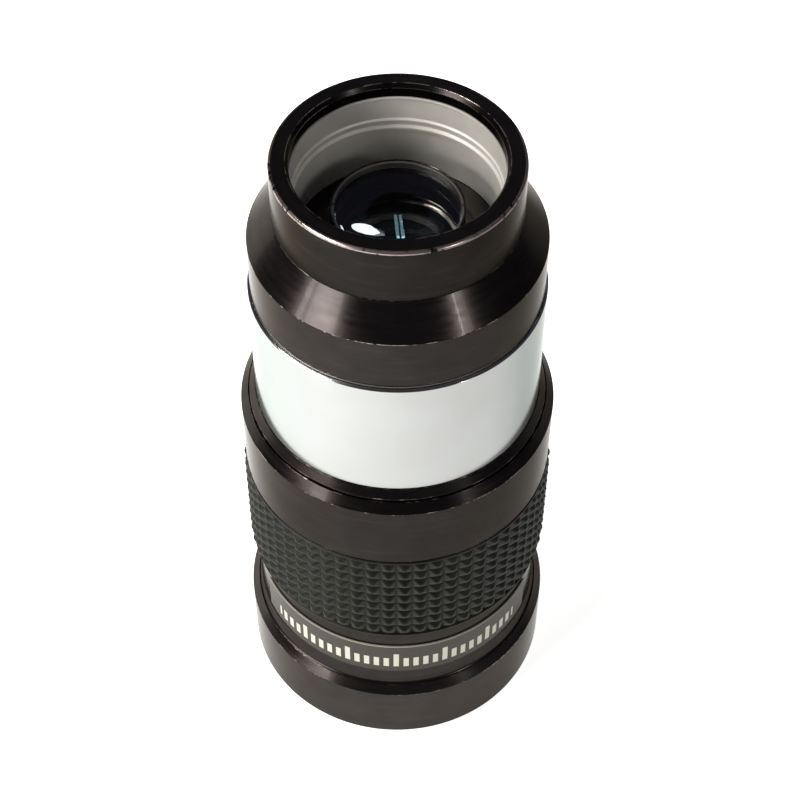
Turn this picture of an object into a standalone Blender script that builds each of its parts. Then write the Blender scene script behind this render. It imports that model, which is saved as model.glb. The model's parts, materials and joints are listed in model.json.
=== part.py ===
"""A 1.25 inch achromatic Barlow lens, standing on its eyepiece end.

Every length below is in millimetres until to_metres() turns it into scene units.
Heights are measured up from the face that the lens stands on, and radii from the optical axis.
"""

import math

import bmesh
import bpy
from mathutils import Matrix, Vector

# ---------------------------------------------------------------- driving dimensions
NOSE_RADIUS = 15.875            # 1.25 inch barrel, the standard that everything follows
SOCKET_RADIUS = 15.95           # bore that takes a 1.25 inch eyepiece
GAP = 0.3                       # space kept between pieces that touch
SEAM = 0.15                     # space kept at the thin washer and the thin label
EDGE = 0.25                     # small chamfer on machined edges
SEGMENTS = 48                   # sides of every turned piece
ORIGIN_HEIGHT = 45.7            # height of the part's origin, its centroid, above the base

# Heights of the visible stages, base to top.
HOLDER_TOP = 9.8                # eyepiece holder, including its bevel
HOLDER_BEVEL = 8.85
FLARE_TOP = 12.0                # the body flares out below this height
GRIP_BOTTOM = 21.1
GRIP_TOP = 36.2
COLLAR_TOP = 46.3
LOCK_RING_TOP = 47.6
BARREL_TOP = 63.75
CELL_BOTTOM = 64.3
CONE_BOTTOM = 70.6
CONE_TOP = 74.0
RIM_TOP = 80.8

# Radii of the visible stages.
HOLDER_RADIUS = 18.35
FLARE_RADIUS = 17.5
BODY_RADIUS = 16.9
LABEL_RADIUS = 17.18
GRIP_RADIUS = 17.95
COLLAR_RADIUS = 17.65
LOCK_RING_RADIUS = 16.6
CELL_RADIUS = 15.59
NECK_RADIUS = 12.9
MOUTH_RADIUS = 10.85

# Pieces inside.
BARREL_BORE = 13.6
UPPER_BORE = 14.3               # body bore above the eyepiece socket
SOCKET_TOP = 31.0
SPIGOT_RADIUS = 15.0            # foot of the nosepiece barrel
SLEEVE_RADIUS = 11.35
CELL_FLOOR = 69.3               # black floor of the mouth, which the lens tube screws into
TUBE_TOP = 74.15                # lens tube, standing proud of that floor
TUBE_FOOT = 64.6
TUBE_RADIUS = 6.9
TUBE_BORE = 6.65
LENS_SEAT = 65.1                # step inside the lens tube that the seat ring lies on
LENS_RADIUS = 6.45
LENS_CLEAR_RADIUS = 6.0
FRONT_EDGE = 73.25              # edge of the front lens's outer face
INNER_EDGE = 69.5               # edge of its inner face
REAR_EDGE = 65.75               # edge of the rear lens's outer face
RING_BORE = 6.15                # retaining ring, in the mouth of the lens tube
SEAT_RING_BORE = 5.9
FRONT_CURVE = 60.0              # radii of curvature, front face first
INNER_CURVE = 30.0
REAR_CURVE = 60.0
LENS_STEPS = 4                  # profile points across each curved surface

# Thumbscrew, on the +Y side.
SCREW_HEIGHT = 4.3
SCREW_RADIUS = 1.45
SCREW_HOLE_RADIUS = 1.65
HEAD_RADIUS = 3.2
HEAD_INNER = 18.75
HEAD_OUTER = 23.2
KNURL_TEETH = 24
KNURL_DEPTH = 0.18

COLOURS = {                     # base colour, roughness, metallic
    "black_anodised": ((0.035, 0.031, 0.028), 0.38, 0.6),
    "satin_aluminium": ((0.62, 0.62, 0.60), 0.35, 1.0),
    "chrome": ((0.82, 0.82, 0.83), 0.08, 1.0),
    "rubber": ((0.028, 0.029, 0.027), 0.7, 0.0),
    "glass": ((0.85, 0.9, 0.95), 0.02, 0.0),
    "brass": ((0.75, 0.55, 0.24), 0.3, 1.0),
    "label": ((0.06, 0.06, 0.055), 0.5, 0.0),
    "nylon": ((0.8, 0.79, 0.74), 0.5, 0.0),
    "matte_black": ((0.015, 0.015, 0.015), 0.9, 0.0),
}


# ---------------------------------------------------------------- helpers
def to_metres(value):
    return value * 0.001


def clear_scene():
    for obj in list(bpy.data.objects):
        bpy.data.objects.remove(obj, do_unlink=True)


def collection(name):
    made = bpy.data.collections.new(name)
    bpy.context.scene.collection.children.link(made)
    return made


def material(slot):
    """The named finish, made once and shared by every piece that has it."""
    if slot in bpy.data.materials:
        return bpy.data.materials[slot]
    colour, roughness, metallic = COLOURS[slot]
    made = bpy.data.materials.new(slot)
    made.use_nodes = True
    shader = made.node_tree.nodes["Principled BSDF"]
    shader.inputs["Base Color"].default_value = (*colour, 1.0)
    shader.inputs["Roughness"].default_value = roughness
    shader.inputs["Metallic"].default_value = metallic
    made.diffuse_color = (*colour, 1.0)
    return made


def place(obj, target, parent, slot=None):
    """Link an object to its collection, parent it and give it its finish."""
    target.objects.link(obj)
    obj.parent = parent
    if slot:
        obj.data.materials.append(material(slot))
    return obj


def empty(name, target, parent, height):
    axis = bpy.data.objects.new(name, None)
    axis.empty_display_size = to_metres(3.0)
    axis.location = (0.0, 0.0, to_metres(height))
    return place(axis, target, parent)


def turned(name, outer, inner, slot, parent, base=0.0):
    """A ring turned about the optical axis: outer runs top to bottom, inner bottom to top."""
    points = [(to_metres(r), 0.0, to_metres(z - base)) for r, z in outer + inner]
    count = len(points)
    mesh = bpy.data.meshes.new(name)
    mesh.from_pydata(points, [(i, (i + 1) % count) for i in range(count)], [])
    obj = place(bpy.data.objects.new(name, mesh), PARTS, parent, slot)
    return add_turn(obj)


def turned_solid(name, outline, slot, parent, base=0.0):
    """A solid turned about the optical axis: the outline starts and ends on the axis."""
    points = [(to_metres(r), 0.0, to_metres(z - base)) for r, z in outline]
    mesh = bpy.data.meshes.new(name)
    mesh.from_pydata(points, [(i, i + 1) for i in range(len(points) - 1)], [])
    obj = place(bpy.data.objects.new(name, mesh), PARTS, parent, slot)
    return add_turn(obj)


def add_turn(obj):
    turn = obj.modifiers.new("turn", "SCREW")
    turn.axis = "Z"
    turn.steps = SEGMENTS
    turn.render_steps = SEGMENTS
    turn.use_merge_vertices = True
    turn.merge_threshold = 1e-6
    return obj


def swept_ring(name, section, start_deg, sweep_deg, steps, slot, parent):
    """An open ring: a flat section (radius, height) swept part of the way round the axis."""
    form = bmesh.new()
    first = math.radians(start_deg)
    corners = [
        form.verts.new(
            (to_metres(r) * math.cos(first), to_metres(r) * math.sin(first), to_metres(z))
        )
        for r, z in section
    ]
    form.faces.new(corners)
    bmesh.ops.spin(
        form,
        geom=form.faces[:] + form.edges[:] + form.verts[:],
        cent=Vector((0.0, 0.0, 0.0)),
        axis=Vector((0.0, 0.0, 1.0)),
        angle=math.radians(sweep_deg),
        steps=steps,
        use_duplicate=False,
    )
    bmesh.ops.recalc_face_normals(form, faces=form.faces[:])
    mesh = bpy.data.meshes.new(name)
    form.to_mesh(mesh)
    form.free()
    return place(bpy.data.objects.new(name, mesh), PARTS, parent, slot)


def cylinder(name, radius, depth, centre, axis, segments, target, parent, slot=None):
    """A cylinder of the given depth, centred at a point, along Y or Z."""
    form = bmesh.new()
    tilt = Matrix.Rotation(math.radians(90.0), 4, "X") if axis == "Y" else Matrix.Identity(4)
    bmesh.ops.create_cone(
        form,
        cap_ends=True,
        segments=segments,
        radius1=to_metres(radius),
        radius2=to_metres(radius),
        depth=to_metres(depth),
        matrix=tilt,
    )
    mesh = bpy.data.meshes.new(name)
    form.to_mesh(mesh)
    form.free()
    obj = place(bpy.data.objects.new(name, mesh), target, parent, slot)
    obj.location = tuple(to_metres(value) for value in centre)
    return obj


def cut(obj, cutter, operation="DIFFERENCE"):
    """Cut an object with a guide, or join the guide to it; the guide stays hidden."""
    cutter.hide_render = True
    cutter.display_type = "WIRE"
    step = obj.modifiers.new(cutter.name, "BOOLEAN")
    step.operation = operation
    step.object = cutter
    step.solver = "EXACT"


def sag(radius, curve):
    """How far a spherical surface falls away from its pole at this radius."""
    return curve - math.sqrt(curve * curve - radius * radius)


def lens_surface(edge_height, curve, lifts):
    """Points of a lens face from the axis to its clear edge, where it lifts or falls."""
    direction = 1.0 if lifts else -1.0
    drop = sag(LENS_CLEAR_RADIUS, curve)
    points = []
    for step in range(LENS_STEPS + 1):
        radius = LENS_CLEAR_RADIUS * step / LENS_STEPS
        points.append((radius, edge_height + direction * (sag(radius, curve) - drop)))
    return points


# ---------------------------------------------------------------- body and eyepiece socket
def flare_points(steps=4):
    """The hollow flare under the body band: a quarter turn from vertical towards the foot."""
    low = HOLDER_TOP + GAP
    points = []
    for step in range(steps + 1):
        angle = math.radians(90.0) * step / steps
        radius = FLARE_RADIUS - (FLARE_RADIUS - BODY_RADIUS) * math.cos(angle)
        points.append((radius, FLARE_TOP - (FLARE_TOP - low) * math.sin(angle)))
    return points


def build_eyepiece_holder(parent):
    rim = SOCKET_RADIUS + 0.4
    counterbore = 17.1
    groove = 16.85
    holder = turned(
        "eyepiece_holder",
        [
            (FLARE_RADIUS, HOLDER_TOP),
            (HOLDER_RADIUS, HOLDER_BEVEL),
            (HOLDER_RADIUS, 0.4),
            (HOLDER_RADIUS - 0.4, 0.0),
        ],
        [
            (rim, 0.0),
            (SOCKET_RADIUS, 0.4),
            (SOCKET_RADIUS, 2.6),
            (groove, 2.6),
            (groove, 6.0),
            (SOCKET_RADIUS, 6.0),
            (SOCKET_RADIUS, 6.6),
            (counterbore, 6.6),
            (counterbore, HOLDER_TOP),
        ],
        "black_anodised",
        parent,
    )
    drill = cylinder(
        "screw_hole_guide", SCREW_HOLE_RADIUS, 4.0, (0.0, 17.6, SCREW_HEIGHT), "Y", 20, GUIDES, parent
    )
    cut(holder, drill)


def build_compression_ring(parent):
    inner = SOCKET_RADIUS + 0.05
    outer = inner + 0.5
    section = [(inner, 2.9), (outer, 2.9), (outer, 5.7), (inner, 5.7)]
    opening = 14.0
    swept_ring("compression_ring", section, -90.0 + opening / 2, 360.0 - opening, 48, "brass", parent)


def build_body_tube(parent):
    grip_seat = 16.5
    top_spigot = 16.15
    top_height = 39.5
    foot_spigot = 16.8
    foot_height = 6.9
    turned(
        "body_tube",
        [
            (top_spigot, top_height),
            (top_spigot, GRIP_TOP),
            (grip_seat, GRIP_TOP),
            (grip_seat, GRIP_BOTTOM - GAP),
            (BODY_RADIUS, GRIP_BOTTOM - GAP),
            *flare_points(),
            (foot_spigot, HOLDER_TOP + GAP),
            (foot_spigot, foot_height),
        ],
        [
            (SOCKET_RADIUS, foot_height),
            (SOCKET_RADIUS, SOCKET_TOP),
            (UPPER_BORE, SOCKET_TOP),
            (UPPER_BORE, top_height),
        ],
        "black_anodised",
        parent,
    )


def build_field_stop(parent):
    rim = UPPER_BORE - GAP
    turned(
        "body_field_stop",
        [(rim, 36.0), (rim, 33.0)],
        [(11.4, 33.0), (11.0, 33.3), (11.4, 33.8), (rim - 0.9, 33.8), (rim - 0.9, 36.0)],
        "matte_black",
        parent,
    )


def build_rubber_grip(parent):
    inner = 16.8
    turned(
        "rubber_grip",
        [
            (GRIP_RADIUS - EDGE, GRIP_TOP),
            (GRIP_RADIUS, GRIP_TOP - EDGE),
            (GRIP_RADIUS, GRIP_BOTTOM + EDGE),
            (GRIP_RADIUS - EDGE, GRIP_BOTTOM),
        ],
        [(inner, GRIP_BOTTOM), (inner, GRIP_TOP)],
        "rubber",
        parent,
    )


def build_label_band(parent):
    inner = BODY_RADIUS + SEAM
    section = [(inner, 12.5), (LABEL_RADIUS, 12.5), (LABEL_RADIUS, 17.9), (inner, 17.9)]
    sweep = 130.0
    swept_ring("label_band", section, -90.0 - sweep / 2, sweep, 18, "label", parent)


def build_body_collar(parent):
    lock_bore = LOCK_RING_RADIUS + GAP
    spigot_bore = SPIGOT_RADIUS + GAP
    body_bore = 16.45
    turned(
        "body_collar",
        [
            (lock_bore, COLLAR_TOP),
            (COLLAR_RADIUS, 45.3),
            (COLLAR_RADIUS, GRIP_TOP + GAP),
        ],
        [
            (body_bore, GRIP_TOP + GAP),
            (body_bore, 39.8),
            (spigot_bore, 39.8),
            (spigot_bore, 43.7),
            (lock_bore, 43.7),
        ],
        "black_anodised",
        parent,
    )


# ---------------------------------------------------------------- nosepiece
def build_nose_lock_ring(parent):
    inner = SPIGOT_RADIUS + GAP
    turned(
        "nose_lock_ring",
        [(NOSE_RADIUS + 0.05, LOCK_RING_TOP), (LOCK_RING_RADIUS, 46.7), (LOCK_RING_RADIUS, 44.0)],
        [(inner, 44.0), (inner, LOCK_RING_TOP)],
        "black_anodised",
        parent,
    )


def build_nosepiece_barrel(parent):
    thread_bore = 14.6
    shoulder = LOCK_RING_TOP + GAP
    turned(
        "nosepiece_barrel",
        [
            (NOSE_RADIUS - 0.2, BARREL_TOP),
            (NOSE_RADIUS, BARREL_TOP - 0.2),
            (NOSE_RADIUS, shoulder),
            (SPIGOT_RADIUS, shoulder),
            (SPIGOT_RADIUS, 40.1),
        ],
        [
            (BARREL_BORE, 40.1),
            (BARREL_BORE, 58.2),
            (thread_bore, 58.2),
            (thread_bore, BARREL_TOP),
        ],
        "chrome",
        parent,
    )


def build_glare_stop(parent):
    rim = BARREL_BORE - GAP
    turned(
        "barrel_glare_stop",
        [(rim, 53.0), (rim, 50.0)],
        [(9.9, 50.0), (9.5, 50.3), (9.9, 50.8), (rim - 0.9, 50.8), (rim - 0.9, 53.0)],
        "matte_black",
        parent,
    )


# ---------------------------------------------------------------- lens cell
def build_cell_body(parent, base):
    rear_bore = 10.0
    web = 66.2
    tube_hole = TUBE_RADIUS + GAP + 0.05
    turned(
        "cell_body",
        [
            (NECK_RADIUS, CONE_TOP),
            (CELL_RADIUS, CONE_BOTTOM),
            (CELL_RADIUS, CELL_BOTTOM),
            (14.3, CELL_BOTTOM),
            (14.3, 58.5),
        ],
        [
            (rear_bore, 58.5),
            (rear_bore, web),
            (tube_hole, web),
            (tube_hole, CELL_FLOOR),
            (SLEEVE_RADIUS + GAP, CELL_FLOOR),
            (SLEEVE_RADIUS + GAP, CONE_TOP),
        ],
        "black_anodised",
        parent,
        base,
    )


def build_cell_washer(parent, base):
    low = BARREL_TOP + SEAM
    high = CELL_BOTTOM - SEAM
    turned("cell_washer", [(15.5, high), (15.5, low)], [(14.7, low), (14.7, high)],
           "satin_aluminium", parent, base)


def build_front_ring(parent, base):
    bore = SLEEVE_RADIUS + GAP
    turned(
        "front_ring",
        [
            (NECK_RADIUS - EDGE, RIM_TOP),
            (NECK_RADIUS, RIM_TOP - EDGE),
            (NECK_RADIUS, CONE_TOP + GAP),
        ],
        [
            (bore, CONE_TOP + GAP),
            (bore, 79.4),
            (MOUTH_RADIUS, 79.4),
            (MOUTH_RADIUS, RIM_TOP - EDGE),
            (MOUTH_RADIUS + EDGE, RIM_TOP),
        ],
        "black_anodised",
        parent,
        base,
    )


def build_cell_sleeve(parent, base):
    inner = 10.8
    bead = 10.5
    foot = CELL_FLOOR + GAP
    turned(
        "cell_sleeve",
        [(SLEEVE_RADIUS, 79.1), (SLEEVE_RADIUS, foot)],
        [(inner, foot), (inner, 74.7), (bead, 74.9), (bead, 75.9), (inner, 76.1), (inner, 79.1)],
        "satin_aluminium",
        parent,
        base,
    )


def build_lens_tube(parent, base):
    """Thin tube that carries both elements; its flange stops it on the floor of the cell."""
    flange = 8.2
    flange_top = CELL_FLOOR + 0.9
    foot_radius = TUBE_RADIUS + 0.05
    seat = SEAT_RING_BORE - 0.1
    turned(
        "lens_tube",
        [
            (TUBE_RADIUS, TUBE_TOP),
            (TUBE_RADIUS, flange_top),
            (flange, flange_top),
            (flange, CELL_FLOOR + GAP),
            (foot_radius, CELL_FLOOR + GAP),
            (foot_radius, TUBE_FOOT),
        ],
        [(seat, TUBE_FOOT), (seat, LENS_SEAT), (TUBE_BORE, LENS_SEAT), (TUBE_BORE, TUBE_TOP)],
        "black_anodised",
        parent,
        base,
    )


def build_retaining_ring(parent, base):
    """Screws into the mouth of the lens tube; two notches take a spanner."""
    rim = TUBE_BORE - SEAM
    foot = FRONT_EDGE + SEAM
    top = TUBE_TOP - 0.1
    chamfer = 0.1
    ring = turned(
        "lens_retaining_ring",
        [(rim, top), (rim, foot)],
        [(RING_BORE, foot), (RING_BORE, top - chamfer), (RING_BORE + chamfer, top)],
        "satin_aluminium",
        parent,
        base,
    )
    form = bmesh.new()
    bmesh.ops.create_cube(form, size=1.0)
    mesh = bpy.data.meshes.new("spanner_slot_guide")
    form.to_mesh(mesh)
    form.free()
    slot = place(bpy.data.objects.new("spanner_slot_guide", mesh), GUIDES, parent)
    slot.scale = (to_metres(16.0), to_metres(1.0), to_metres(0.7))
    slot.location = (0.0, 0.0, to_metres(TUBE_TOP - base))
    cut(ring, slot)


def build_lenses(parent, base):
    """Front crown element, hollow on both faces, and the rear meniscus that nests against it."""
    rear_high = INNER_EDGE - SEAM
    top = lens_surface(FRONT_EDGE, FRONT_CURVE, True)
    middle = lens_surface(INNER_EDGE, INNER_CURVE, False)
    turned_solid(
        "front_lens",
        top + [(LENS_RADIUS, FRONT_EDGE), (LENS_RADIUS, INNER_EDGE)] + middle[::-1],
        "glass",
        parent,
        base,
    )
    follow = lens_surface(rear_high, INNER_CURVE, False)
    last = lens_surface(REAR_EDGE, REAR_CURVE, False)
    turned_solid(
        "rear_lens",
        follow + [(LENS_RADIUS, rear_high), (LENS_RADIUS, REAR_EDGE)] + last[::-1],
        "glass",
        parent,
        base,
    )
    seat_top = REAR_EDGE - SEAM
    seat_bottom = LENS_SEAT + SEAM
    turned(
        "lens_seat_ring",
        [(LENS_RADIUS, seat_top), (LENS_RADIUS, seat_bottom)],
        [(SEAT_RING_BORE, seat_bottom), (SEAT_RING_BORE, seat_top)],
        "satin_aluminium",
        parent,
        base,
    )


# ---------------------------------------------------------------- thumbscrew
def knurl(obj):
    """Pull every second corner of a cylinder in, which leaves straight knurling."""
    inner = to_metres(HEAD_RADIUS - KNURL_DEPTH)
    for vertex in obj.data.vertices:
        angle = math.atan2(vertex.co.z, vertex.co.x)
        tooth = round(angle / math.radians(180.0 / KNURL_TEETH))
        if tooth % 2:
            vertex.co.x = inner * math.cos(angle)
            vertex.co.z = inner * math.sin(angle)


def build_thumbscrew(parent):
    """The axis empty is the parent, so places along Y are measured from the optical axis."""
    shank_start = 17.35
    shank_end = HEAD_INNER + 1.0
    head_depth = HEAD_OUTER - HEAD_INNER
    head = cylinder(
        "thumbscrew",
        HEAD_RADIUS,
        head_depth,
        (0.0, HEAD_INNER + head_depth / 2, 0.0),
        "Y",
        KNURL_TEETH * 2,
        PARTS,
        parent,
        "black_anodised",
    )
    knurl(head)
    shank = cylinder(
        "thumbscrew_shank_guide",
        SCREW_RADIUS,
        shank_end - shank_start,
        (0.0, (shank_start + shank_end) / 2, 0.0),
        "Y",
        20,
        GUIDES,
        parent,
    )
    cut(head, shank, "UNION")
    pad_start = SOCKET_RADIUS + 0.65
    pad_end = shank_start - SEAM
    cylinder(
        "thumbscrew_pad",
        1.2,
        pad_end - pad_start,
        (0.0, (pad_start + pad_end) / 2, 0.0),
        "Y",
        20,
        PARTS,
        parent,
        "nylon",
    )


# ---------------------------------------------------------------- assembly
clear_scene()
PARTS = collection("barlow_lens")
GUIDES = collection("cutters")

base_empty = empty("standing_face", PARTS, None, -ORIGIN_HEIGHT)
cell_axis = empty("lens_cell_axis", PARTS, base_empty, CELL_BOTTOM)
screw_axis = empty("thumbscrew_axis", PARTS, base_empty, SCREW_HEIGHT)

build_eyepiece_holder(base_empty)
build_compression_ring(base_empty)
build_body_tube(base_empty)
build_field_stop(base_empty)
build_rubber_grip(base_empty)
build_label_band(base_empty)
build_body_collar(base_empty)
build_nose_lock_ring(base_empty)
build_nosepiece_barrel(base_empty)
build_glare_stop(base_empty)
build_cell_body(cell_axis, CELL_BOTTOM)
build_cell_washer(cell_axis, CELL_BOTTOM)
build_front_ring(cell_axis, CELL_BOTTOM)
build_cell_sleeve(cell_axis, CELL_BOTTOM)
build_lens_tube(cell_axis, CELL_BOTTOM)
build_retaining_ring(cell_axis, CELL_BOTTOM)
build_lenses(cell_axis, CELL_BOTTOM)
build_thumbscrew(screw_axis)
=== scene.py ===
"""The looks of a 1.25 inch Barlow lens that stands on its eyepiece end, built around its CAD frame."""
import json
import math

import bmesh
import bpy
from mathutils import Matrix, Vector


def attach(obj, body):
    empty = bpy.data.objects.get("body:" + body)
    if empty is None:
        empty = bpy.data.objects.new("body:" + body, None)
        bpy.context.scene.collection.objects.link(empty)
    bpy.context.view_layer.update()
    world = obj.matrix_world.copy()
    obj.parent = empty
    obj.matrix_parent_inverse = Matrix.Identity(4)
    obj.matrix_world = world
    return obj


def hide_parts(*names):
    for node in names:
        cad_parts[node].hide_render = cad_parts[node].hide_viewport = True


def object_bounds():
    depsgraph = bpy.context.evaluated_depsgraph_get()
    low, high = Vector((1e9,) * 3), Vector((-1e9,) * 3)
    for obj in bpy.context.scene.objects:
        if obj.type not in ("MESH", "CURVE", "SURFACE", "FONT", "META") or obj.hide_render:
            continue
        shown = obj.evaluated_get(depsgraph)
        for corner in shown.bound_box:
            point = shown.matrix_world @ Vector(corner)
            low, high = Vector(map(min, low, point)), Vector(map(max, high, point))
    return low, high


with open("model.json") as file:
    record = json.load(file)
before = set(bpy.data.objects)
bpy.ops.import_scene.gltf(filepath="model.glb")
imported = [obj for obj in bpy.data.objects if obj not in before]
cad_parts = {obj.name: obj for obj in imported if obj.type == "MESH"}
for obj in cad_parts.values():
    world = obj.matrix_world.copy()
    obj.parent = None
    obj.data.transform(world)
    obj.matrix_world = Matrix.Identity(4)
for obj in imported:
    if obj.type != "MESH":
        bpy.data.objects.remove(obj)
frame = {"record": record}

CAD_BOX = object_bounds()
BASE = CAD_BOX[0][2]            # height of the face that the lens stands on, in metres
TURN_STEPS = 224                # sides of every turned piece
FILLET_STEPS = 4                # faces round a softened edge of 90 degrees
SEAM = 0.05                     # what shows of the joint between two touching pieces, in millimetres
POLE_RADIUS = 1e-6              # a point nearer the axis than this is a pole, in millimetres

BODY_OF = {node: body for body, nodes in frame["record"]["behaviour"]["bodies"].items() for node in nodes}


# ---------------------------------------------------------------- small helpers
def mm(value):
    return value * 0.001


def link(obj):
    bpy.context.scene.collection.objects.link(obj)
    return obj


def stand_for(obj, node):
    """The piece takes its CAD node's place: it joins the node's body, and the CAD part is hidden."""
    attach(obj, BODY_OF[node])
    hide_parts(node)
    return obj


# ---------------------------------------------------------------- turned pieces
def softened(outline, closed, fillet):
    """Round the corners of an outline of (radius, height[, fillet[, wear]]) points, in millimetres.

    Returns (radius, height, edge) points, where edge is the wear on a rounded corner and 0 beside it.
    A support point beside each arc keeps the shading of the straight runs flat. The first and last
    points of an open outline stay sharp.
    """
    flattest = math.radians(8.0)        # a corner that turns less than this isn't rounded
    roomiest = 0.42                     # share of the shorter side that an arc may take
    beside = 0.12                       # distance of the support point, as a share of the arc's reach
    count = len(outline)
    made = []
    for index, corner in enumerate(outline):
        here = Vector(corner[:2])
        if not closed and index in (0, count - 1):
            made.append((here.x, here.y, 0.0))
            continue
        before = Vector(outline[index - 1][:2]) - here
        after = Vector(outline[(index + 1) % count][:2]) - here
        size = corner[2] if len(corner) > 2 else fillet
        turn = math.pi - before.angle(after)
        if size <= 0.0 or turn < flattest:
            made.append((here.x, here.y, 0.0))
            continue
        reach = size * math.tan(turn / 2.0)
        room = roomiest * min(before.length, after.length)
        if reach > room:
            size *= room / reach
            reach = room
        before.normalize()
        after.normalize()
        centre = here + (before + after).normalized() * (size / math.cos(turn / 2.0))
        start = here + before * reach
        end = here + after * reach
        support = beside * reach
        wear = corner[3] if len(corner) > 3 else 1.0
        made.append((*(start + before * support), 0.0))
        first = start - centre
        sweep = first.angle_signed(end - centre)
        steps = max(2, round(FILLET_STEPS * turn / math.radians(90.0)))
        for step in range(steps + 1):
            angle = -sweep * step / steps
            arm = Vector(
                (
                    first.x * math.cos(angle) - first.y * math.sin(angle),
                    first.x * math.sin(angle) + first.y * math.cos(angle),
                )
            )
            made.append((*(centre + arm), wear))
        made.append((*(end + after * support), 0.0))
    return made


def revolve(name, points, closed, steps=TURN_STEPS, start=0.0, sweep=math.tau):
    """Turn (radius, height, edge) points about the optical axis into a mesh object."""
    form = bmesh.new()
    edge_layer = form.verts.layers.float.new("edge")
    full = sweep >= math.tau - 1e-6
    rings = []
    columns = steps if full else steps + 1
    for radius, height, edge in points:
        if radius < POLE_RADIUS:
            pole = form.verts.new((0.0, 0.0, BASE + mm(height)))
            pole[edge_layer] = edge
            rings.append([pole] * columns)
            continue
        ring = []
        for column in range(columns):
            angle = start + sweep * column / steps
            vertex = form.verts.new(
                (mm(radius) * math.cos(angle), mm(radius) * math.sin(angle), BASE + mm(height))
            )
            vertex[edge_layer] = edge
            ring.append(vertex)
        rings.append(ring)
    pairs = list(zip(rings, rings[1:]))
    if closed:
        pairs.append((rings[-1], rings[0]))
    for upper, lower in pairs:
        for column in range(steps):
            following = (column + 1) % columns
            corners = [upper[column], lower[column], lower[following], upper[following]]
            loop = list(dict.fromkeys(corners))
            if len(loop) > 2:
                form.faces.new(loop)
    if not full:
        form.faces.new([ring[0] for ring in rings][::-1])
        form.faces.new([ring[-1] for ring in rings])
    mesh = bpy.data.meshes.new(name)
    form.normal_update()
    form.to_mesh(mesh)
    form.free()
    mesh.shade_smooth()
    return link(bpy.data.objects.new(name, mesh))


def turned(node, outline, material, fillet=0.12, closed=True, **options):
    """A turned piece that stands for a CAD node of the same name."""
    obj = revolve(node + "_fine", softened(outline, closed, fillet), closed, **options)
    obj.data.set_sharp_from_angle(angle=math.radians(50.0))
    obj.data.materials.append(material)
    return stand_for(obj, node)


def blacken(obj, radius, below=100.0):
    """Paint the bore of a piece flat black: every face inside this radius and below this height, in mm."""
    obj.data.materials.append(MATTE)
    for face in obj.data.polygons:
        inside = math.hypot(face.center.x, face.center.y) < mm(radius)
        face.material_index = 1 if inside and face.center.z < BASE + mm(below) else 0


def cut_away(obj, guide):
    """Cut a guide shape out of a piece, then remove the guide."""
    step = obj.modifiers.new(guide.name, "BOOLEAN")
    step.operation = "DIFFERENCE"
    step.solver = "EXACT"
    step.object = guide
    made = bpy.data.meshes.new_from_object(obj.evaluated_get(bpy.context.evaluated_depsgraph_get()))
    obj.modifiers.clear()
    obj.data = made
    bpy.data.objects.remove(guide)


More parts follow.
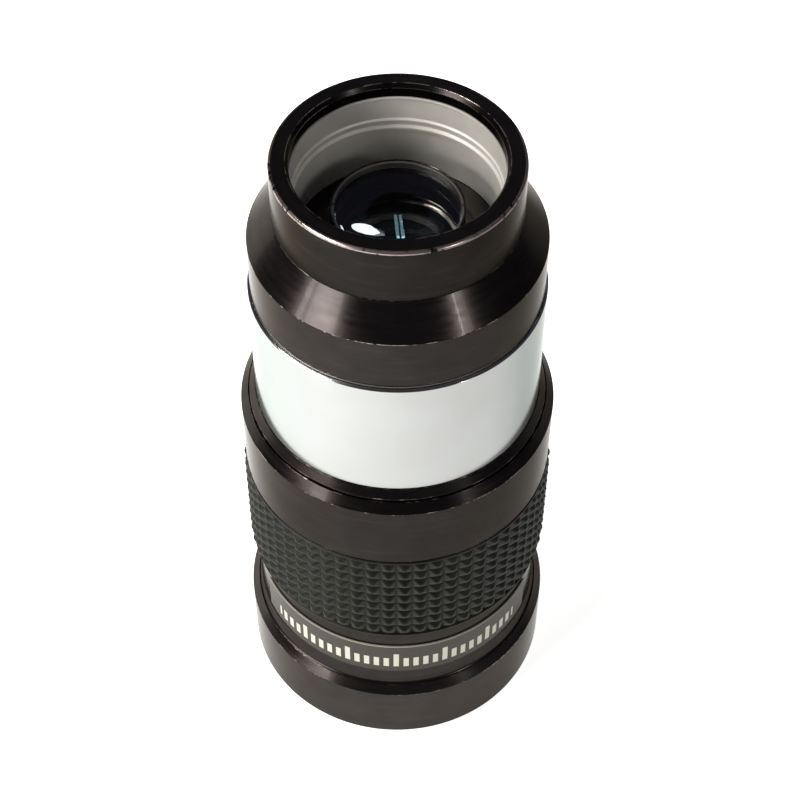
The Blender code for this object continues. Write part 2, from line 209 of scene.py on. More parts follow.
# ---------------------------------------------------------------- material helpers
class Nodes:
    """Shorthand for building one material's node tree."""

    def __init__(self, name):
        self.material = bpy.data.materials.new(name)
        self.material.use_nodes = True
        self.tree = self.material.node_tree
        self.shader = self.tree.nodes["Principled BSDF"]

    def add(self, kind, **settings):
        node = self.tree.nodes.new(kind)
        for key, value in settings.items():
            setattr(node, key, value)
        return node

    def join(self, source, target):
        self.tree.links.new(source, target)

    def put(self, socket, value):
        self.shader.inputs[socket].default_value = value

    def feed(self, socket, source):
        self.join(source, self.shader.inputs[socket])

    def math(self, operation, first, second=None, clamp=False):
        node = self.add("ShaderNodeMath", operation=operation, use_clamp=clamp)
        for index, value in enumerate((first, second)):
            if value is None:
                continue
            if isinstance(value, (int, float)):
                node.inputs[index].default_value = value
            else:
                self.join(value, node.inputs[index])
        return node.outputs[0]

    def scaled(self, source, factor, offset, clamp=False):
        """source times factor, plus offset."""
        return self.math("ADD", self.math("MULTIPLY", source, factor), offset, clamp=clamp)

    def ramp(self, factor, stops):
        node = self.add("ShaderNodeValToRGB")
        ramp = node.color_ramp
        while len(ramp.elements) < len(stops):
            ramp.elements.new(0.5)
        for element, (position, colour) in zip(ramp.elements, stops):
            element.position = position
            element.color = (*colour, 1.0) if len(colour) == 3 else colour
        self.join(factor, node.inputs[0])
        return node.outputs[0]

    def noise(self, vector, scale, detail=2.0, roughness=0.5):
        node = self.add("ShaderNodeTexNoise")
        node.inputs["Scale"].default_value = scale
        node.inputs["Detail"].default_value = detail
        node.inputs["Roughness"].default_value = roughness
        self.join(vector, node.inputs["Vector"])
        return node.outputs[0]

    def place(self):
        """Place on the object, in metres."""
        return self.add("ShaderNodeTexCoord").outputs["Object"]

    def split(self, vector):
        parts = self.add("ShaderNodeSeparateXYZ")
        self.join(vector, parts.inputs[0])
        return tuple(parts.outputs)

    def position(self):
        """Place on the object, radius from the axis and height in metres, and angle from the front."""
        place = self.place()
        x, y, z = self.split(place)
        squares = self.math("ADD", self.math("MULTIPLY", x, x), self.math("MULTIPLY", y, y))
        radius = self.math("SQRT", squares)
        angle = self.math("ARCTAN2", x, self.math("MULTIPLY", y, -1.0))
        return place, radius, angle, z

    def vector(self, x, y, z):
        node = self.add("ShaderNodeCombineXYZ")
        for socket, value in zip(node.inputs, (x, y, z)):
            if isinstance(value, (int, float)):
                socket.default_value = value
            else:
                self.join(value, socket)
        return node.outputs[0]

    def bump(self, height, strength, distance):
        node = self.add("ShaderNodeBump")
        node.inputs["Strength"].default_value = strength
        node.inputs["Distance"].default_value = distance
        self.join(height, node.inputs["Height"])
        self.feed("Normal", node.outputs[0])

    def mix(self, factor, first, second):
        node = self.add("ShaderNodeMix", data_type="RGBA")
        self.join(factor, node.inputs["Factor"])
        a, b = [s for s in node.inputs if s.type == "RGBA"][:2]
        for socket, value in ((a, first), (b, second)):
            if isinstance(value, tuple):
                socket.default_value = (*value, 1.0)
            else:
                self.join(value, socket)
        return [s for s in node.outputs if s.type == "RGBA"][0]

    def lathe_lines(self, radius, angle, z, per_mm, arc):
        """Fine turning marks: noise that changes fast along the profile and slowly round it."""
        along = self.math("ADD", self.math("MULTIPLY", z, 0.8), self.math("MULTIPLY", radius, 0.6))
        return self.noise(
            self.vector(
                self.math("MULTIPLY", along, per_mm * 1000.0),
                self.math("MULTIPLY", self.math("COSINE", angle), arc),
                self.math("MULTIPLY", self.math("SINE", angle), arc),
            ),
            1.0,
            detail=3.0,
            roughness=0.6,
        )

    def spun(self, amount):
        """Stretch highlights across the turning marks."""
        tangent = self.add("ShaderNodeTangent", direction_type="RADIAL", axis="Z")
        self.feed("Tangent", tangent.outputs[0])
        self.put("Anisotropic", amount)


# ---------------------------------------------------------------- materials
def make_black_anodised(name, shade=1.0, dullness=0.10, seal=0.06):
    """Black anodised aluminium: near black with a warm sheen, turning marks and worn edges.

    Its second argument scales its colour as painted light and shade, for lighter and darker copies on parts
    that catch more or less light; dullness is its least roughness and seal the weight of a clear coat.
    """
    n = Nodes(name)
    deep = tuple(shade * value for value in (0.0195, 0.0175, 0.0165))
    light = tuple(shade * value for value in (0.027, 0.0238, 0.0225))
    place, radius, angle, z = n.position()
    lines = n.lathe_lines(radius, angle, z, 7.0, 2.2)
    patches = n.noise(place, 260.0, 3.0, 0.6)
    tint = n.ramp(patches, [(0.3, deep), (0.7, light)])
    edge = n.add("ShaderNodeAttribute", attribute_name="edge").outputs["Fac"]
    speck = n.math("ADD", n.noise(place, 1500.0, 4.0, 0.65), n.math("MULTIPLY", patches, 1.1))
    speck = n.math("ADD", speck, n.math("MULTIPLY", edge, 0.25))
    rubbed = n.math("MULTIPLY", n.math("SUBTRACT", speck, 1.33), 7.0, clamp=True)
    streak = n.lathe_lines(radius, angle, z, 3.2, 2.5)
    scuffed = n.math("MULTIPLY", n.math("SUBTRACT", streak, 0.52), 0.12, clamp=True)
    worn = n.math("MAXIMUM", n.math("MULTIPLY", edge, rubbed, clamp=True), scuffed)
    n.feed("Base Color", n.mix(worn, tint, (0.34, 0.29, 0.27)))
    n.put("Metallic", 0.88)
    n.feed("Roughness", n.scaled(lines, 0.22, dullness))
    n.put("IOR", 1.4)
    n.put("Specular Tint", (0.48, 0.465, 0.44, 1.0))
    n.put("Coat Weight", seal)
    n.put("Coat Roughness", 0.05)
    n.bump(lines, 0.3, mm(0.006))
    n.spun(0.1)
    return n.material


def make_chrome():
    """Bright chrome plate with very faint turning marks under it."""
    n = Nodes("chrome_fine")
    place, radius, angle, z = n.position()
    lines = n.lathe_lines(radius, angle, z, 3.0, 1.5)
    haze = n.noise(place, 120.0, 2.0, 0.5)
    n.put("Metallic", 1.0)
    n.put("Specular Tint", (0.60, 0.63, 0.62, 1.0))
    n.feed("Base Color", n.ramp(haze, [(0.3, (0.46, 0.475, 0.465)), (0.7, (0.49, 0.508, 0.50))]))
    n.feed("Roughness", n.scaled(haze, 0.06, 0.12))
    n.bump(lines, 0.05, mm(0.004))
    return n.material


def make_satin_aluminium(name, metallic, dull, bright):
    """Turned aluminium with a soft grain round the bore, stained between a dull and a bright colour."""
    n = Nodes(name)
    place, radius, angle, z = n.position()
    lines = n.lathe_lines(radius, angle, z, 6.0, 3.0)
    stain = n.noise(place, 180.0, 3.0, 0.6)
    n.put("Metallic", metallic)
    n.feed("Base Color", n.ramp(stain, [(0.25, dull), (0.75, bright)]))
    n.feed("Roughness", n.scaled(lines, 0.2, 0.32))
    n.bump(lines, 0.3, mm(0.008))
    n.spun(0.4)
    return n.material


def make_seat_ring_metal_painted_shade():
    """Edge of the ring under the glass: metal on its +X side, where the crescent highlight shows, and
    painted shade, a near black colour, round the rest.
    """
    n = Nodes("seat_ring_metal_painted_shade")
    place, _, angle, _ = n.position()
    haze = n.noise(place, 400.0, 2.0, 0.5)
    n.put("Metallic", 1.0)
    bright = n.ramp(haze, [(0.3, (0.95, 0.90, 0.76)), (0.7, (1.0, 0.96, 0.84))])
    painted_lit_side = n.scaled(n.math("SINE", angle), 3.0, 0.1, clamp=True)
    # Painted shade: away from the +X side the colour turns near black, so only that side shows the lit
    # crescent.
    n.feed("Base Color", n.mix(painted_lit_side, (0.09, 0.085, 0.07), bright))
    n.feed("Roughness", n.scaled(haze, 0.06, 0.17))
    return n.material


def make_rubber():
    """Moulded rubber: charcoal, slightly green, with a fine skin texture."""
    n = Nodes("rubber_fine")
    place = n.place()
    skin = n.noise(place, 4200.0, 3.0, 0.6)
    bloom = n.noise(place, 420.0, 3.0, 0.55)
    n.feed("Base Color", n.ramp(bloom, [(0.3, (0.0035, 0.004, 0.003)), (0.7, (0.007, 0.0078, 0.0058))]))
    n.feed("Roughness", n.scaled(bloom, 0.2, 0.36))
    n.put("IOR", 1.265)
    n.put("Specular Tint", (0.98, 1.0, 0.88, 1.0))
    n.bump(skin, 0.25, mm(0.012))
    return n.material


def make_label():
    """Printed sticker: dark olive grey with a plain scale of pale tick marks."""
    n = Nodes("label_fine")
    place, _, angle, z = n.position()
    pitch = math.radians(4.0)           # from one tick mark to the next
    reach = math.radians(56.0)          # of the scale, to each side of the front
    mark_foot = 13.6                    # heights above the base, in millimetres
    mark_top = 15.4
    border_foot = 17.78
    taller = 0.9                        # what every fifth mark adds to its height
    height = n.math("DIVIDE", n.math("SUBTRACT", z, BASE), 0.001)
    mark = n.math("DIVIDE", angle, pitch)
    off_centre = n.math("ABSOLUTE", n.math("SUBTRACT", mark, n.math("ROUND", mark)))
    stroke = n.math("LESS_THAN", off_centre, 0.27)
    fifth = n.math("DIVIDE", n.math("ROUND", mark), 5.0)
    off_fifth = n.math("ABSOLUTE", n.math("SUBTRACT", fifth, n.math("ROUND", fifth)))
    long_mark = n.math("LESS_THAN", off_fifth, 0.05)
    top = n.math("ADD", mark_top, n.math("MULTIPLY", long_mark, taller))
    above_foot = n.math("GREATER_THAN", height, mark_foot)
    inside = n.math("MULTIPLY", above_foot, n.math("LESS_THAN", height, top))
    within = n.math("LESS_THAN", n.math("ABSOLUTE", angle), reach)
    print_mask = n.math("MULTIPLY", n.math("MULTIPLY", stroke, inside), within)
    fleck = n.noise(place, 900.0, 3.0, 0.6)
    ground = n.ramp(fleck, [(0.3, (0.021, 0.020, 0.014)), (0.7, (0.030, 0.0285, 0.020))])
    border = n.math("GREATER_THAN", height, border_foot)
    inked = n.mix(print_mask, ground, (0.56, 0.55, 0.46))
    n.feed("Base Color", n.mix(border, inked, (0.30, 0.29, 0.24)))
    n.feed("Roughness", n.scaled(fleck, 0.15, 0.38))
    n.put("IOR", 1.34)
    n.put("Specular Tint", (1.0, 0.97, 0.82, 1.0))
    n.bump(fleck, 0.1, mm(0.01))
    return n.material


def make_glass(name, index, reflected):
    """Optical glass; reflected is the tint that its anti-reflection coating leaves in a reflection."""
    n = Nodes(name)
    film = n.noise(n.place(), 90.0, 1.0, 0.4)
    n.feed("Base Color", n.ramp(film, [(0.3, (0.95, 0.97, 0.97)), (0.7, (0.98, 0.99, 0.985))]))
    n.put("Transmission Weight", 1.0)
    n.put("Roughness", 0.0)
    n.put("IOR", index)
    n.put("Specular Tint", (*reflected, 1.0))
    return n.material


def make_matte_black():
    """Flat optical black paint."""
    n = Nodes("optical_black")
    grain = n.noise(n.place(), 2600.0, 3.0, 0.6)
    n.feed("Base Color", n.ramp(grain, [(0.3, (0.006, 0.006, 0.006)), (0.7, (0.012, 0.012, 0.012))]))
    n.put("Roughness", 0.85)
    n.put("Specular IOR Level", 0.1)
    n.bump(grain, 0.3, mm(0.02))
    return n.material


def make_brass():
    """Plain turned brass."""
    n = Nodes("brass_fine")
    _, radius, angle, z = n.position()
    lines = n.lathe_lines(radius, angle, z, 6.0, 2.0)
    n.put("Metallic", 1.0)
    n.feed("Base Color", n.ramp(lines, [(0.3, (0.60, 0.42, 0.17)), (0.7, (0.74, 0.55, 0.25))]))
    n.put("Roughness", 0.28)
    n.bump(lines, 0.3, mm(0.006))
    return n.material


def make_nylon():
    """Natural nylon."""
    n = Nodes("nylon_fine")
    cloud = n.noise(n.place(), 800.0, 2.0, 0.5)
    n.feed("Base Color", n.ramp(cloud, [(0.3, (0.70, 0.69, 0.63)), (0.7, (0.80, 0.79, 0.73))]))
    n.put("Roughness", 0.45)
    n.put("Subsurface Weight", 0.2)
    return n.material


BLACK = make_black_anodised("black_anodised_fine")
# Painted light and shade: lighter and darker copies of the black anodising, the rim darkest, its up-facing
# faces lighter and rougher, the collar a little dark and the base brightest, for how much light each part
# catches.
BLACK_RIM = make_black_anodised("black_anodised_rim", 0.7, seal=0.0)
BLACK_FACE = make_black_anodised("black_anodised_face", 0.9, dullness=0.26, seal=0.0)
BLACK_COLLAR = make_black_anodised("black_anodised_collar", 0.82)
BLACK_BASE = make_black_anodised("black_anodised_base", 1.5)
CHROME = make_chrome()
ALUMINIUM = make_satin_aluminium("satin_aluminium_fine", 0.25, (0.55, 0.55, 0.50), (0.68, 0.68, 0.62))
SEAT_RING_METAL_PAINTED_SHADE = make_seat_ring_metal_painted_shade()
DULL_ALUMINIUM = make_satin_aluminium("dull_aluminium", 0.9, (0.17, 0.16, 0.15), (0.24, 0.225, 0.21))
RUBBER = make_rubber()
LABEL = make_label()
COATED_GLASS = make_glass("coated_glass", 1.65, (0.80, 0.92, 1.0))
INNER_GLASS = make_glass("inner_glass", 1.62, (0.06, 0.10, 0.09))
MATTE = make_matte_black()
BRASS = make_brass()
NYLON = make_nylon()


# ---------------------------------------------------------------- eyepiece end and body
def build_body():
    seam = 9.9              # height of the joint between the eyepiece holder and the body tube
    flare_top = 12.0        # where the foot of the body tube starts to widen
    flare_steps = 8
    turned(
        "eyepiece_holder",
        [
            (17.5, seam - SEAM / 2, 0.04), (18.35, 8.85, 0.1), (18.35, 0.4, 0.15), (17.95, 0.0, 0.1),
            (16.35, 0.0, 0.08), (15.95, 0.4, 0.08), (15.95, 2.6, 0.05), (16.85, 2.6, 0.05),
            (16.85, 6.0, 0.05), (15.95, 6.0, 0.05), (15.95, 6.6, 0.05), (17.1, 6.6, 0.05),
            (17.1, seam - SEAM / 2, 0.03),
        ],
        BLACK_BASE,
    )
    flare = []
    for step in range(flare_steps + 1):
        angle = math.radians(90.0) * step / flare_steps
        radius = 17.5 - 0.6 * math.cos(angle)
        height = flare_top - (flare_top - seam - SEAM / 2) * math.sin(angle)
        flare.append((radius, height, 0.0))
    turned(
        "body_tube",
        [
            (16.15, 39.5), (16.15, 36.25), (16.5, 36.25), (16.5, 20.85, 0.0), (16.9, 20.85, 0.1),
            *flare, (17.05, seam + SEAM / 2, 0.03), (16.8, seam - 0.1), (16.8, 6.9, 0.1),
            (15.95, 6.9, 0.1), (15.95, 31.0, 0.05), (14.3, 31.0, 0.1), (14.3, 39.5),
        ],
        BLACK,
    )
    turned(
        "body_field_stop",
        [
            (14.25, 36.0), (14.25, 33.0), (11.4, 33.0), (11.0, 33.3, 0.03), (11.4, 33.8),
            (13.2, 33.8, 0.3), (13.2, 36.0),
        ],
        MATTE,
        fillet=0.08,
    )


def build_label():
    """Sticker round the front of the plain band."""
    sweep = math.radians(130.0)
    outline = [(17.13, 17.9, 0.05), (17.13, 12.5, 0.05), (16.94, 12.5, 0.0), (16.94, 17.9, 0.0)]
    turned("label_band", outline, LABEL, steps=120, start=-math.pi / 2 - sweep / 2, sweep=sweep)


def build_grip():
    """Moulded sleeve with 9 rows of 60 square pyramids between two plain borders."""
    rows = 9
    columns = 60
    fine = 8                    # faces along each side of a pyramid
    valley = 17.38              # radius of the grooves between the pyramids
    peak = 17.93                # radius of their tips
    border = 17.68              # radius of the plain borders
    lip = 17.55                 # radius at their outer ends
    row_low = 21.62             # height of the foot of the lowest row
    row_pitch = 1.565
    inner = 16.55               # radius of the bore
    blunt = 0.86                # share of a full pyramid's height at which its tip is cut flat
    form = bmesh.new()
    around = columns * fine

    def ring(radius_of, height):
        made = []
        for step in range(around):
            angle = math.tau * step / around
            radius = mm(radius_of(step))
            made.append(
                form.verts.new((radius * math.cos(angle), radius * math.sin(angle), BASE + mm(height)))
            )
        return made

    def pyramid(step, level):
        """Height of the pattern at this column step and row level, 0 in a groove and 1 on a tip."""
        across = abs((step % fine) / fine - 0.5) * 2.0
        up = abs(level - 0.5) * 2.0
        height = 1.0 - max(across, up)
        return min(height, blunt) / blunt

    rings = [
        ring(lambda step: inner, 36.15),
        ring(lambda step: lip, 36.15),
        ring(lambda step: border, 36.0),
        ring(lambda step: border, 35.86),
        ring(lambda step: valley, row_low + rows * row_pitch + 0.02),
    ]
    for row in reversed(range(rows)):
        for sub in reversed(range(fine)):
            level = sub / fine
            rings.append(
                ring(
                    lambda step, level=level: valley + (peak - valley) * pyramid(step, level),
                    row_low + (row + level) * row_pitch,
                )
            )
    rings += [
        ring(lambda step: border, 21.42),
        ring(lambda step: border, 21.28),
        ring(lambda step: lip, 21.12),
        ring(lambda step: inner, 21.12),
    ]
    for upper, lower in zip(rings, rings[1:] + rings[:1]):
        for step in range(around):
            following = (step + 1) % around
            form.faces.new([upper[step], lower[step], lower[following], upper[following]])
    mesh = bpy.data.meshes.new("rubber_grip_fine")
    form.normal_update()
    form.to_mesh(mesh)
    form.free()
    mesh.shade_smooth()
    mesh.set_sharp_from_angle(angle=math.radians(28.0))
    obj = link(bpy.data.objects.new("rubber_grip_fine", mesh))
    obj.data.materials.append(RUBBER)
    stand_for(obj, "rubber_grip")


def build_collar():
    turned(
        "body_collar",
        [
            (16.72, 46.5, 0.05), (17.65, 45.26, 0.1), (17.6, 36.3, 0.12), (16.2, 36.3, 0.05),
            (16.2, 39.8), (15.3, 39.8), (15.3, 43.7), (16.72, 43.7, 0.05),
        ],
        BLACK_COLLAR,
    )
    turned(
        "nose_lock_ring",
        [(15.95, 47.62, 0.06), (16.62, 46.66, 0.06), (16.62, 44.0), (15.05, 44.0), (15.05, 47.62, 0.05)],
        BLACK,
    )


# ---------------------------------------------------------------- nosepiece and lens cell
def build_nosepiece():
    barrel = turned(
        "nosepiece_barrel",
        [
            (15.7, 63.85, 0.04), (15.875, 63.74, 0.06), (15.875, 47.68, 0.05), (15.0, 47.68, 0.05),
            (15.0, 40.1), (13.6, 40.1), (13.6, 58.2), (14.6, 58.2),
            *thread(14.6, 14.85, 63.5, 58.6)[::-1], (14.6, 63.85, 0.05),
        ],
        CHROME,
        fillet=0.1,
    )
    blacken(barrel, 13.7)
    turned(
        "barrel_glare_stop",
        [
            (13.55, 53.0), (13.55, 50.0), (9.9, 50.0), (9.5, 50.3, 0.03), (9.9, 50.8),
            (12.4, 50.8, 0.3), (12.4, 53.0),
        ],
        MATTE,
        fillet=0.08,
    )


def build_cell():
    turned(
        "cell_washer",
        [(15.5, 64.12, 0.04), (15.5, 63.92, 0.04), (14.6, 63.92, 0.0), (14.6, 64.12, 0.0)],
        DULL_ALUMINIUM,
    )
    body = turned(
        "cell_body",
        [
            (12.9, 74.0, 0.05), (15.59, 70.6, 0.12), (15.59, 64.3, 0.12), (14.05, 64.3),
            *thread(14.3, 14.05, 63.9, 58.9), (14.05, 58.5, 0.2),
            (10.0, 58.5), (10.0, 66.2), (7.2, 66.2), (7.2, 69.3, 0.05), (11.45, 69.3, 0.0),
            (11.45, 74.0, 0.0),
        ],
        BLACK,
    )
    blacken(body, 10.1, below=68.0)
    rim = turned(
        "front_ring",
        [
            (12.9, 80.68, 0.32, 1.7), (12.9, 74.04, 0.04), (11.65, 74.04, 0.03), (11.65, 79.15, 0.0),
            (10.85, 79.15, 0.07, 2.6), (10.85, 80.3, 0.08, 1.6), (11.15, 80.8, 0.08, 1.3),
        ],
        BLACK_RIM,
    )
    # The up-facing faces take the rougher, lighter copy: the roughness is the turned finish, the lighter
    # colour is painted light on the tops.
    rim.data.materials.append(BLACK_FACE)
    for face in rim.data.polygons:
        face.material_index = 1 if face.normal.z > 0.98 else 0
    turned(
        "cell_sleeve",
        [
            (11.4, 79.12, 0.05), (11.4, 69.34, 0.0), (10.8, 69.34, 0.05), (10.8, 74.65, 0.1),
            (10.55, 74.85, 0.06), (10.55, 75.15, 0.06), (10.8, 75.4, 0.1), (10.8, 75.75, 0.1),
            (10.62, 75.95, 0.06), (10.62, 76.15, 0.06), (10.8, 76.35, 0.1),
            (10.8, 78.8, 0.08), (10.7, 78.92, 0.05), (10.7, 79.12, 0.05),
        ],
        ALUMINIUM,
    )
    tube = turned(
        "lens_tube",
        [
            (6.9, 74.15, 0.05), (6.9, 70.2, 0.1), (8.2, 70.2, 0.12), (8.2, 69.35, 0.05),
            (6.95, 69.35, 0.0), (6.95, 64.6, 0.1), (5.8, 64.6, 0.1), (5.8, 65.1, 0.05),
            (6.75, 65.1, 0.0), (6.75, 74.15, 0.04),
        ],
        BLACK,
    )
    blacken(tube, 6.8, below=74.0)
    ring = turned(
        "lens_retaining_ring",
        [(6.72, 74.05, 0.02), (6.72, 73.28, 0.0), (6.5, 73.28, 0.02), (6.5, 74.0, 0.04)],
        DULL_ALUMINIUM,
    )
    cut_spanner_slot(ring)


def cut_spanner_slot(ring):
    """Cut a slot 1 mm wide across the top of the retaining ring, down to 73.85 mm above the base."""
    form = bmesh.new()
    bmesh.ops.create_cube(form, size=1.0)
    bmesh.ops.scale(form, vec=(mm(16.0), mm(1.0), mm(0.6)), verts=form.verts)
    bmesh.ops.translate(form, vec=(0.0, 0.0, BASE + mm(74.15)), verts=form.verts)
    mesh = bpy.data.meshes.new("spanner_slot_guide")
    form.to_mesh(mesh)
    form.free()
    cut_away(ring, link(bpy.data.objects.new("spanner_slot_guide", mesh)))


def thread(crest, root, top, bottom, pitch=0.6):
    """Outline points of a thread, from its top to its bottom; the turns are drawn as rings."""
    points = []
    height = top
    while height - pitch > bottom:
        points += [
            (crest, height, 0.03), (crest, height - 0.1, 0.03),
            (root, height - 0.3, 0.03), (root, height - 0.4, 0.03),
        ]
        height -= pitch
    return points


LENS_RADIUS = 6.65
LENS_CLEAR_RADIUS = 6.3
FRONT_EDGE = 73.25              # heights of the edges of the lens faces, from the outer face inwards
INNER_EDGE = 69.5
NESTED_EDGE = 69.42
REAR_EDGE = 65.75
FRONT_CURVE = 60.0              # radii of curvature, front face first
INNER_CURVE = 30.0
REAR_CURVE = 60.0


def sag(radius, curve):
    """How far a spherical surface falls away from its pole at this radius."""
    return curve - math.sqrt(curve * curve - radius * radius)


def lens_face(edge_height, curve, lifts, clear=LENS_CLEAR_RADIUS, steps=14):
    """Points of a lens face from the axis to its clear edge, where it lifts or falls."""
    direction = 1.0 if lifts else -1.0
    points = []
    for step in range(steps + 1):
        radius = clear * step / steps
        height = edge_height + direction * (sag(radius, curve) - sag(clear, curve))
        points.append((radius, height, 0.0))
    return points


def build_lenses():
    """The pair of elements. The outer face mirrors, the inner faces barely do, and the edges are black."""
    front = turned(
        "front_lens",
        lens_face(FRONT_EDGE, FRONT_CURVE, True)
        + [(LENS_RADIUS, FRONT_EDGE, 0.1), (LENS_RADIUS, INNER_EDGE, 0.1)]
        + lens_face(INNER_EDGE, INNER_CURVE, False)[::-1],
        COATED_GLASS,
        closed=False,
    )
    rear = turned(
        "rear_lens",
        lens_face(NESTED_EDGE, INNER_CURVE, False)
        + [(LENS_RADIUS, NESTED_EDGE, 0.1), (LENS_RADIUS, REAR_EDGE, 0.1)]
        + lens_face(REAR_EDGE, REAR_CURVE, False)[::-1],
        INNER_GLASS,
        closed=False,
    )
    for lens in (front, rear):
        lens.data.materials.append(INNER_GLASS)
        lens.data.materials.append(MATTE)
        for face in lens.data.polygons:
            if abs(face.normal.z) < 0.5:
                face.material_index = 2
            elif face.center.z < BASE + mm(73.0):
                face.material_index = 1
    # The seat ring's material keeps its +X side bright and paints shade round the rest.
    turned(
        "lens_seat_ring",
        [(LENS_RADIUS, 65.29, 0.0), (LENS_RADIUS, 65.15, 0.01), (6.35, 65.15, 0.01), (6.35, 65.18, 0.0)],
        SEAT_RING_METAL_PAINTED_SHADE,
    )


# ---------------------------------------------------------------- eyepiece lock
SCREW_HEIGHT = 4.3              # axis of the thumbscrew, which points along +Y, above the base


def revolve_across(name, rings, teeth=0, steps=192):
    """Turn (radius, reach along +Y, tooth depth) rings about the thumbscrew's axis."""
    form = bmesh.new()
    edge_layer = form.verts.layers.float.new("edge")
    made = []
    for radius, along, depth in rings:
        ring = []
        for step in range(steps):
            angle = math.tau * step / steps
            wave = abs((angle * teeth / math.tau) % 1.0 - 0.5) * 2.0
            size = mm(radius - depth * (1.0 - wave))
            vertex = form.verts.new(
                (size * math.cos(angle), mm(along), BASE + mm(SCREW_HEIGHT) + size * math.sin(angle))
            )
            vertex[edge_layer] = 0.6 if depth > 0.0 and wave > 0.8 else 0.0
            ring.append(vertex)
        made.append(ring)
    for inner, outer in zip(made, made[1:]):
        for step in range(steps):
            following = (step + 1) % steps
            form.faces.new([inner[step], outer[step], outer[following], inner[following]])
    form.faces.new(made[0])
    form.faces.new(made[-1][::-1])
    bmesh.ops.recalc_face_normals(form, faces=form.faces)
    mesh = bpy.data.meshes.new(name)
    form.to_mesh(mesh)
    form.free()
    mesh.shade_smooth()
    mesh.set_sharp_from_angle(angle=math.radians(40.0))
    return link(bpy.data.objects.new(name, mesh))


def build_thumbscrew():
    """Knurled head with bevelled ends and a dished face, on a threaded shank with a flat tip."""
    rings = [(1.15, 17.35, 0.0), (1.25, 17.4, 0.0)]
    pitch = 0.25
    crest = 17.55
    thread_end = 18.55
    while crest < thread_end:
        rings += [(1.45, crest, 0.0), (1.28, crest + pitch / 2, 0.0)]
        crest += pitch
    rings += [
        (1.45, 18.75, 0.0), (2.7, 18.75, 0.0), (2.85, 18.8, 0.0), (3.16, 19.1, 0.02), (3.2, 19.2, 0.2),
        (3.2, 22.6, 0.2), (3.16, 22.72, 0.02), (2.85, 23.08, 0.0), (2.7, 23.18, 0.0), (2.35, 23.2, 0.0),
        (2.25, 23.15, 0.0), (2.15, 23.0, 0.0), (0.4, 22.95, 0.0),
    ]
    screw = revolve_across("thumbscrew_fine", rings, teeth=24)
    screw.data.materials.append(BLACK)
    stand_for(screw, "thumbscrew")
    pad = revolve_across(
        "thumbscrew_pad_fine",
        [(1.05, 16.6, 0.0), (1.15, 16.65, 0.0), (1.2, 16.75, 0.0), (1.2, 17.15, 0.0), (1.15, 17.2, 0.0)],
        steps=96,
    )
    pad.data.materials.append(NYLON)
    stand_for(pad, "thumbscrew_pad")


def drill_screw_hole(holder):
    """Radial hole through the back of the eyepiece holder, with a small countersink."""
    rings = [(1.6, 15.0, 0.0), (1.6, 18.15, 0.0), (1.85, 18.4, 0.0), (1.85, 19.0, 0.0)]
    cut_away(holder, revolve_across("screw_hole_guide", rings))


def build_compression_ring():
    """Split ring in the groove of the eyepiece socket, open at the front."""
    opening = math.radians(14.0)
    turned(
        "compression_ring",
        [(16.5, 5.7), (16.5, 2.9), (16.0, 2.9), (16.0, 5.7)],
        BRASS,
        fillet=0.08,
        steps=180,
        start=-math.pi / 2 + opening / 2,
        sweep=math.tau - opening,
    )


build_body()
build_label()
build_grip()
build_collar()
build_nosepiece()
build_cell()
build_lenses()
build_compression_ring()
build_thumbscrew()
drill_screw_hole(bpy.data.objects["eyepiece_holder_fine"])


# ---------------------------------------------------------------- floor, light and camera
LIGHT_TARGET = 73.0             # height that the lights are aimed at, in millimetres above the base


def build_floor():
    """White paper that glows with painted light: brightest on the window's side and behind the lens, and
    dimmed far off on the other side as painted shade.
    """
    mesh = bpy.data.meshes.new("floor")
    form = bmesh.new()
    bmesh.ops.create_grid(form, x_segments=1, y_segments=1, size=4.0)
    form.to_mesh(mesh)
    form.free()
    floor = link(bpy.data.objects.new("floor", mesh))
    floor.location = (0.0, 0.0, BASE)
    n = Nodes("pale_floor")
    x, y, _ = n.split(n.place())
    side = n.math("SUBTRACT", n.math("MULTIPLY", x, 0.987), n.math("MULTIPLY", y, 0.162))

    def ease(source, start, end, low, high):
        """Go smoothly from low to high while the source goes from start to end, in metres."""
        node = n.add("ShaderNodeMapRange", interpolation_type="SMOOTHSTEP")
        n.join(source, node.inputs["Value"])
        for socket, value in (("From Min", start), ("From Max", end), ("To Min", low), ("To Max", high)):
            node.inputs[socket].default_value = value
        return node.outputs[0]

    # Painted light and shade in the glow: more on the window's side and behind the lens, where the cast
    # shadow falls, less far off on the other side.
    across = ease(side, -0.07, 0.06, 1.3, 0.62)
    beyond = ease(side, 0.054, 0.12, 1.0, 0.25)
    behind = ease(y, -0.03, 0.04, 1.0, 1.42)
    n.put("Base Color", (0.87, 0.87, 0.86, 1.0))
    n.put("Roughness", 0.8)
    n.put("Emission Color", (1.0, 1.0, 0.985, 1.0))
    n.feed("Emission Strength", n.math("MULTIPLY", across, n.math("MULTIPLY", beyond, behind)))
    floor.data.materials.append(n.material)


def area_light(
    name, azimuth, elevation, distance, size, radiance, colour=(1.0, 1.0, 1.0), shape="RECTANGLE", roll=0.0
):
    """A light aimed at the glass. Azimuth is from the front towards +X; angles are in degrees."""
    light = bpy.data.lights.new(name, "AREA")
    light.shape = shape
    light.size, light.size_y = size
    light.energy = radiance * size[0] * size[1] * math.pi
    light.color = colour
    obj = link(bpy.data.objects.new(name, light))
    az, el = math.radians(azimuth), math.radians(elevation)
    target = Vector((0.0, 0.0, BASE + mm(LIGHT_TARGET)))
    obj.location = target + distance * Vector(
        (math.sin(az) * math.cos(el), -math.cos(az) * math.cos(el), math.sin(el))
    )
    aim = (target - obj.location).to_track_quat("-Z", "Y").to_matrix()
    obj.rotation_euler = (aim @ Matrix.Rotation(math.radians(roll), 3, "Z")).to_euler()


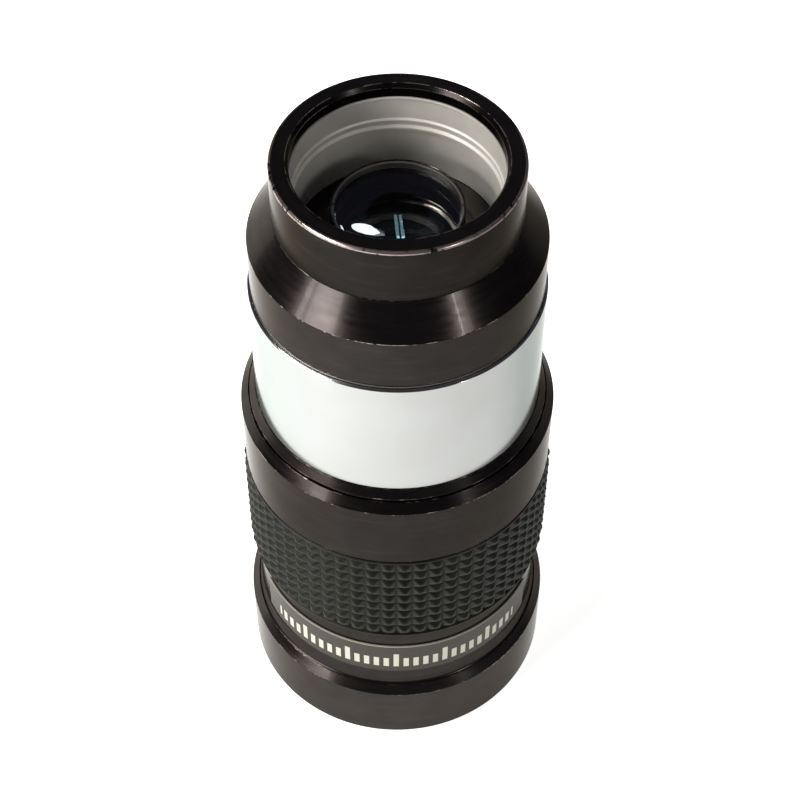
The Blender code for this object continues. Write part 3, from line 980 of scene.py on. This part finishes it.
def build_lights():
    area_light("window_left", -53.0, 21.0, 1.0, (0.34, 0.32), 18.0, (1.0, 0.93, 0.91))
    area_light("window_edge", -68.0, 22.0, 0.98, (0.06, 0.26), 24.0, (1.0, 0.95, 0.95))
    area_light("window_right", 47.0, 28.0, 1.0, (0.14, 0.24), 8.0, (1.0, 0.91, 0.89))
    area_light("strip_right", 44.0, 24.0, 0.9, (0.010, 0.28), 80.0)
    area_light("key_left", -78.0, 48.0, 1.0, (0.36, 0.32), 15.0, (1.0, 0.97, 0.93))
    area_light("lamp_back", 176.0, 41.2, 1.0, (0.056, 0.036), 12.0, shape="ELLIPSE", roll=-38.0)
    area_light("lamp_glow", 177.0, 40.8, 1.01, (0.05, 0.03), 2.0, shape="ELLIPSE", roll=-38.0)
    for side in (-1.0, 1.0):
        azimuth = 180.3 + 0.32 * side
        area_light(
            f"tube_back_{side:+.0f}", azimuth, 42.2, 1.0, (0.0055, 0.1), 10.0, (0.50, 0.84, 1.0), roll=3.0
        )
    world = bpy.data.worlds.new("studio")
    world.use_nodes = True
    background = world.node_tree.nodes["Background"]
    background.inputs["Color"].default_value = (0.064, 0.059, 0.078, 1.0)
    background.inputs["Strength"].default_value = 1.0
    bpy.context.scene.world = world


def build_camera():
    """Above the front, looking down on the lens; a little roll, and aimed just right of the axis."""
    camera = bpy.data.cameras.new("camera")
    camera.sensor_width = 36.0
    camera.lens = 84.3
    camera.clip_start = 0.01
    obj = link(bpy.data.objects.new("camera", camera))
    target = Vector((mm(0.305), 0.0, BASE + mm(43.24)))
    elevation = math.radians(50.65)
    distance = mm(213.3)
    away = Vector((0.0, -math.cos(elevation), math.sin(elevation)))
    turn = (-away).to_track_quat("-Z", "Y").to_matrix().to_4x4()
    roll = Matrix.Rotation(math.radians(0.27), 4, "Z")
    obj.matrix_world = Matrix.Translation(target + away * distance) @ turn @ roll
    bpy.context.scene.camera = obj


build_floor()
build_lights()
build_camera()
bpy.context.scene.view_settings.view_transform = "Standard"
